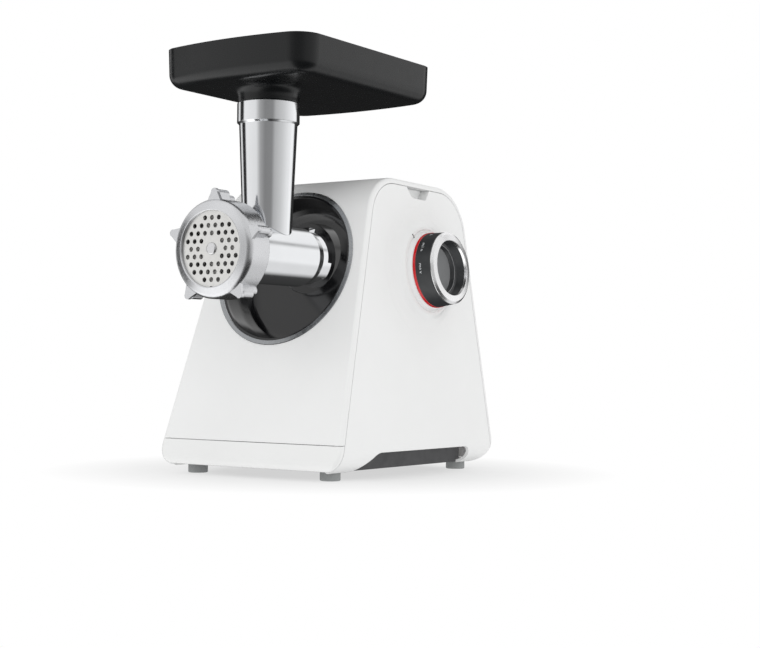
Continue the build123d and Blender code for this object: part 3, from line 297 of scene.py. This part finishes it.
brass = metal("holder_brass", (0.68, 0.48, 0.2), 0.3)

slot_surface = {
    "white_shell": white, "white_trim": white_gloss, "black_gloss": black_gloss, "rim_grey": rim,
    "tray_black": tray_black, "knob_black": knob_black, "knob_grey": knob_grey, "red_ring": red,
    "bezel_steel": bezel, "cast_head": casting, "blade_steel": blade, "coupling_nylon": coupling,
    "shaft_steel": shaft, "gear_nylon": nylon, "bush_bronze": bronze, "bearing_steel": chrome,
    "gearbox_grey": gearbox_grey, "laminated_steel": laminated, "copper_winding": copper,
    "bracket_alloy": alloy, "brush_carbon": carbon, "holder_brass": brass, "base_grey": dark_grey,
    "board_green": board, "foot_rubber": rubber,
}
node_surface = {"screw_ring": ring_face, "perforated_disc": blasted, "drive_socket": black_gloss}


def dress_nodes():
    """Give every CAD node its material, by its slot or by its own name."""
    for part in frame["record"]["subparts"]:
        surface = node_surface.get(part["node"], slot_surface[part["material_slot"]])
        mesh = nodes[part["node"]].data
        mesh.materials.clear()
        mesh.materials.append(surface.material)


dress_nodes()

# Only the head, its worm, disc and ring, and the tray show up in shiny surfaces. The casing, what is
# inside it and the knob are left out, as if the studio had lit the head by itself.
reflected_bodies = ("head", "worm", "disc", "ring", "tray")
bodies = frame["record"]["behaviour"]["bodies"]
reflected = {node for body in reflected_bodies for node in bodies[body]}
for name, node in nodes.items():
    node.visible_glossy = name in reflected


# ---------------------------------------------------------------- dial marks
def height_out(node):
    """How far a node's middle lies out along the knob's axis."""
    return (middle(node) - knob_centre).dot(knob_out)


def half_height(node):
    low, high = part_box(node)
    return (high - low).z / 2


def dial_frame(angle, radius, out):
    """A frame on the knob's side: x round the knob, y away from the machine, z out from its axis."""
    level = Vector((0, 0, 1))
    level = (level - knob_out * level.dot(knob_out)).normalized()
    spoke = Matrix.Rotation(math.radians(angle), 3, knob_out) @ level
    edge = knob_out.cross(spoke)
    place = knob_centre + knob_out * out + spoke * radius
    turn = Matrix((edge, knob_out, spoke)).transposed().to_4x4()
    return Matrix.Translation(place) @ turn


def add_piece(name, mesh, surface, body):
    """A visual piece that moves with a body, and is left out of reflections as the knob is."""
    piece = bpy.data.objects.new(name, mesh)
    piece.visible_glossy = False
    bpy.context.scene.collection.objects.link(piece)
    mesh.materials.clear()
    mesh.materials.append(surface.material)
    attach(piece, body)


def letter_mesh(letter, height):
    """One raised letter, as a mesh lying in its own x-y plane."""
    curve = bpy.data.curves.new("letter", "FONT")
    curve.body = letter
    curve.size = height
    curve.extrude = mark_raise
    curve.align_x = "CENTER"
    curve.align_y = "CENTER"
    shape = bpy.data.objects.new("letter", curve)
    mesh = bpy.data.meshes.new_from_object(shape)
    bpy.data.objects.remove(shape)
    bpy.data.curves.remove(curve)
    return mesh


def dial_word(word, angle, radius, out, height, pitch):
    """A word round the knob's side, centred on an angle, letter by letter."""
    step = math.degrees(pitch / radius)
    for place, letter in enumerate(word):
        mesh = letter_mesh(letter, height)
        turn = angle + (place - (len(word) - 1) / 2) * step
        mesh.transform(dial_frame(turn, radius, out))
        add_piece(f"mark_{word}_{place}", mesh, mark_white, "knob")


def box_mesh(name, length, width, depth):
    """A small box centred on its origin."""
    mesh = bpy.data.meshes.new(name)
    half = (length / 2, width / 2, depth / 2)
    sides = (-1, 1)
    corners = [(x * half[0], y * half[1], z * half[2]) for x in sides for y in sides for z in sides]
    faces = [(0, 1, 3, 2), (4, 6, 7, 5), (0, 4, 5, 1), (2, 3, 7, 6), (0, 2, 6, 4), (1, 5, 7, 3)]
    mesh.from_pydata(corners, [], faces)
    return mesh


def ring_mesh(name, radius, tube, out, steps=128, sides=10):
    """A thin round ring about the knob's axis."""
    mesh = bpy.data.meshes.new(name)
    corners = []
    for step in range(steps):
        turn = dial_frame(360 * step / steps, radius, out)
        for side in range(sides):
            angle = 2 * math.pi * side / sides
            corners.append(turn @ Vector((0, tube * math.cos(angle), tube * math.sin(angle))))
    faces = []
    for step in range(steps):
        here, after = step * sides, (step + 1) % steps * sides
        for side in range(sides):
            beside = (side + 1) % sides
            faces.append((here + side, here + beside, after + beside, after + side))
    mesh.from_pydata(corners, [], faces)
    mesh.polygons.foreach_set("use_smooth", [True] * len(mesh.polygons))
    return mesh


# The words stand on the knob's side, and the angles run round it from straight up, in degrees.
mark_angles = {"max": 92, "min": 56, "0": 22}
mark_raise = 0.04 * MM
mark_height, mark_pitch = 4.6 * MM, 2.9 * MM
mark_past_ring, mark_inset = 5.6 * MM, 0.72 * MM
red_ring_out, red_ring_radius = height_out("knob_red_ring"), half_height("knob_red_ring")
mark_out, mark_radius = red_ring_out + mark_past_ring, red_ring_radius - mark_inset
for word, angle in mark_angles.items():
    dial_word(word, angle, mark_radius, mark_out, mark_height, mark_pitch)

# A short line on the casing's boss, beside the red ring, that the words are read against.
index_size = (0.7 * MM, 0.5 * MM, 3.6 * MM)
index_angle = 38
index_past_ring, index_behind_ring = 4.0 * MM, 4.6 * MM
index_radius, index_out = red_ring_radius + index_past_ring, red_ring_out - index_behind_ring
index_line = box_mesh("index_line", *index_size)
index_line.transform(dial_frame(index_angle, index_radius, index_out))
add_piece("index_line", index_line, mark_dark, "root")

# A thin lip round the mouth of the knob's cavity, coloured light grey as a painted highlight along its edge.
lip_clear, lip_tube, lip_past_cap = 0.55 * MM, 0.25 * MM, 4.8 * MM
lip_radius, lip_out = half_height("knob_cap") + lip_clear, height_out("knob_cap") + lip_past_cap
lip = ring_mesh("cavity_lip_highlight", lip_radius, lip_tube, lip_out)
add_piece("cavity_lip_highlight", lip, lip_highlight_grey, "knob")


# ---------------------------------------------------------------- studio
floor_size = 24
floor_color, floor_roughness, floor_shine = (0.96, 0.96, 0.96), 0.16, 0.3
floor_cloud_mm, floor_cloud = 30, 0.02
# The share of plain white mixed into the floor, which grows to all of it between two distances from
# the machine's middle, in metres.
floor_glow = 0.62
floor_fade_start, floor_fade_end = 0.09, 0.24


def make_floor():
    """A pale floor that fades to the white of the background away from the machine."""
    bpy.ops.mesh.primitive_plane_add(size=floor_size)
    floor = bpy.context.object
    floor.name = "floor"
    surface = Surface("floor_white", floor_color, floor_roughness, Specular_IOR_Level=floor_shine)
    where = surface.place()
    length = surface.node("ShaderNodeVectorMath", operation="LENGTH")
    surface.link(where, length.inputs[0])
    fade = surface.spread(length.outputs["Value"], floor_glow, 1.0, floor_fade_start, floor_fade_end)
    surface.vary_roughness(surface.noise(where, floor_cloud_mm, detail=3), floor_cloud)
    glow = surface.node("ShaderNodeEmission")
    glow.inputs["Color"].default_value = (1, 1, 1, 1)
    glow.inputs["Strength"].default_value = 1.0
    blend = surface.node("ShaderNodeMixShader")
    output = surface.tree.nodes["Material Output"]
    surface.link(fade, blend.inputs[0])
    surface.link(surface.shader.outputs[0], blend.inputs[1])
    surface.link(glow.outputs[0], blend.inputs[2])
    surface.link(blend.outputs[0], output.inputs["Surface"])
    floor.data.materials.append(surface.material)
    floor.visible_glossy = False


def make_world():
    """Studio surroundings: white to the camera, soft white as light, and strips in reflections."""
    world = bpy.data.worlds.new("studio")
    bpy.context.scene.world = world
    world.use_nodes = True
    tree = world.node_tree
    tree.nodes.clear()

    def node(kind, **settings):
        made = tree.nodes.new(kind)
        for key, value in settings.items():
            setattr(made, key, value)
        return made

    def ramp(value, stops):
        made = node("ShaderNodeValToRGB")
        while len(made.color_ramp.elements) < len(stops):
            made.color_ramp.elements.new(0.5)
        for element, (position, level) in zip(made.color_ramp.elements, stops):
            element.position = position
            element.color = (level, level, level, 1)
        tree.links.new(value, made.inputs[0])
        return made.outputs[0]

    def maths(operation, *values):
        made = node("ShaderNodeMath", operation=operation)
        for socket, value in zip(made.inputs, values):
            if isinstance(value, (int, float)):
                socket.default_value = value
            else:
                tree.links.new(value, socket)
        return made.outputs[0]

    def fade(value, start, end):
        """0 up to start, rising smoothly to 1 at end."""
        made = node("ShaderNodeMapRange", interpolation_type="SMOOTHSTEP")
        made.inputs["From Min"].default_value = start
        made.inputs["From Max"].default_value = end
        tree.links.new(value, made.inputs["Value"])
        return made.outputs["Result"]

    def blend(factor, first, second):
        """first where the factor is 0, second where it is 1."""
        kept = maths("MULTIPLY", first, maths("SUBTRACT", 1.0, factor))
        return maths("ADD", kept, maths("MULTIPLY", second, factor))

    def backdrop(strength):
        made = node("ShaderNodeBackground")
        made.inputs["Color"].default_value = (1, 1, 1, 1)
        if isinstance(strength, float):
            made.inputs["Strength"].default_value = strength
        else:
            tree.links.new(strength, made.inputs["Strength"])
        return made.outputs[0]

    def either(switch, first, second):
        made = node("ShaderNodeMixShader")
        tree.links.new(switch, made.inputs[0])
        tree.links.new(first, made.inputs[1])
        tree.links.new(second, made.inputs[2])
        return made.outputs[0]

    coords = node("ShaderNodeTexCoord")
    parts = node("ShaderNodeSeparateXYZ")
    tree.links.new(coords.outputs["Generated"], parts.inputs[0])
    toward_camera = math.atan2(camera_place.x, -camera_place.y)
    angle = maths("ARCTAN2", parts.outputs["X"], maths("MULTIPLY", parts.outputs["Y"], -1.0))
    turned_angle = maths("SUBTRACT", angle, toward_camera)
    # Half a turn puts the camera's own direction in the middle of the ramps, and a whole one keeps
    # the share above zero.
    share = maths("FRACT", maths("ADD", maths("DIVIDE", turned_angle, 2 * math.pi), 1.5))
    level_ring, high_ring, low_ring = [
        ramp(share, [(degrees / 360 + 0.5, level) for degrees, level in stops])
        for stops in (level_stops, high_stops, low_stops)
    ]
    rise = parts.outputs["Z"]
    high_start, high_end = [math.sin(math.radians(degrees)) for degrees in high_fade]
    low_start, low_end = [math.sin(math.radians(degrees)) for degrees in low_fade]
    upper = blend(fade(rise, high_start, high_end), level_ring, high_ring)
    seen = blend(fade(rise, low_start, low_end), low_ring, upper)

    path = node("ShaderNodeLightPath")
    output = node("ShaderNodeOutputWorld")
    lit = either(path.outputs["Is Glossy Ray"], backdrop(soft_light), backdrop(seen))
    whole = either(path.outputs["Is Camera Ray"], lit, backdrop(1.0))
    tree.links.new(whole, output.inputs["Surface"])


# Brightness of what shiny surfaces see round the machine, by degrees to the right of the camera:
# level with it, above it and below it.
level_stops = [
    (-180, 0.03), (-143, 0.03), (-136, 0.9), (-126, 0.9), (-121, 0.03), (-103, 0.03), (-97, 1.05),
    (-46, 0.95), (-30, 0.45), (-10, 0.28), (18, 0.30), (30, 0.55), (62, 0.75), (90, 1.0), (118, 1.2),
    (126, 1.1), (132, 0.03), (180, 0.03),
]
high_stops = [
    (-180, 0.08), (-160, 0.4), (-125, 0.95), (-60, 1.1), (-20, 0.9), (40, 0.9), (90, 1.0),
    (109, 0.95), (113, 0.35), (117, 1.1), (156, 1.1), (166, 0.1), (180, 0.08),
]
low_stops = [
    (-180, 0.04), (-135, 0.10), (-118, 1.6), (-42, 1.4), (-20, 0.15), (0, 0.06), (60, 0.06),
    (92, 0.2), (104, 0.9), (130, 0.9), (145, 0.06), (180, 0.04),
]
# Degrees above the horizon between which the level stops give way to the high ones, and the low
# stops to the level ones.
high_fade, low_fade = (14, 24), (-24, -13)
# The even white that lights everything.
soft_light = 0.86


def make_light(name, place, aim, size, power):
    """One large soft box."""
    data = bpy.data.lights.new(name, "AREA")
    data.shape = "RECTANGLE"
    data.size, data.size_y = size
    data.energy = power
    light = bpy.data.objects.new(name, data)
    light.location = place
    light.rotation_euler = (Vector(aim) - Vector(place)).to_track_quat("-Z", "Y").to_euler()
    light.visible_glossy = False
    bpy.context.scene.collection.objects.link(light)


bpy.context.scene.view_settings.view_transform = "Standard"
make_floor()
make_world()
make_light("key", place=(-1.0, -1.9, 1.3), aim=(0, 0, 0.15), size=(1.8, 1.8), power=4)
make_light("side", place=(1.9, -0.4, 1.1), aim=(0, 0, 0.15), size=(1.8, 1.8), power=2)
make_light("top", place=(0.1, -0.1, 2.2), aim=(0, 0, 0.1), size=(2.0, 2.0), power=2)
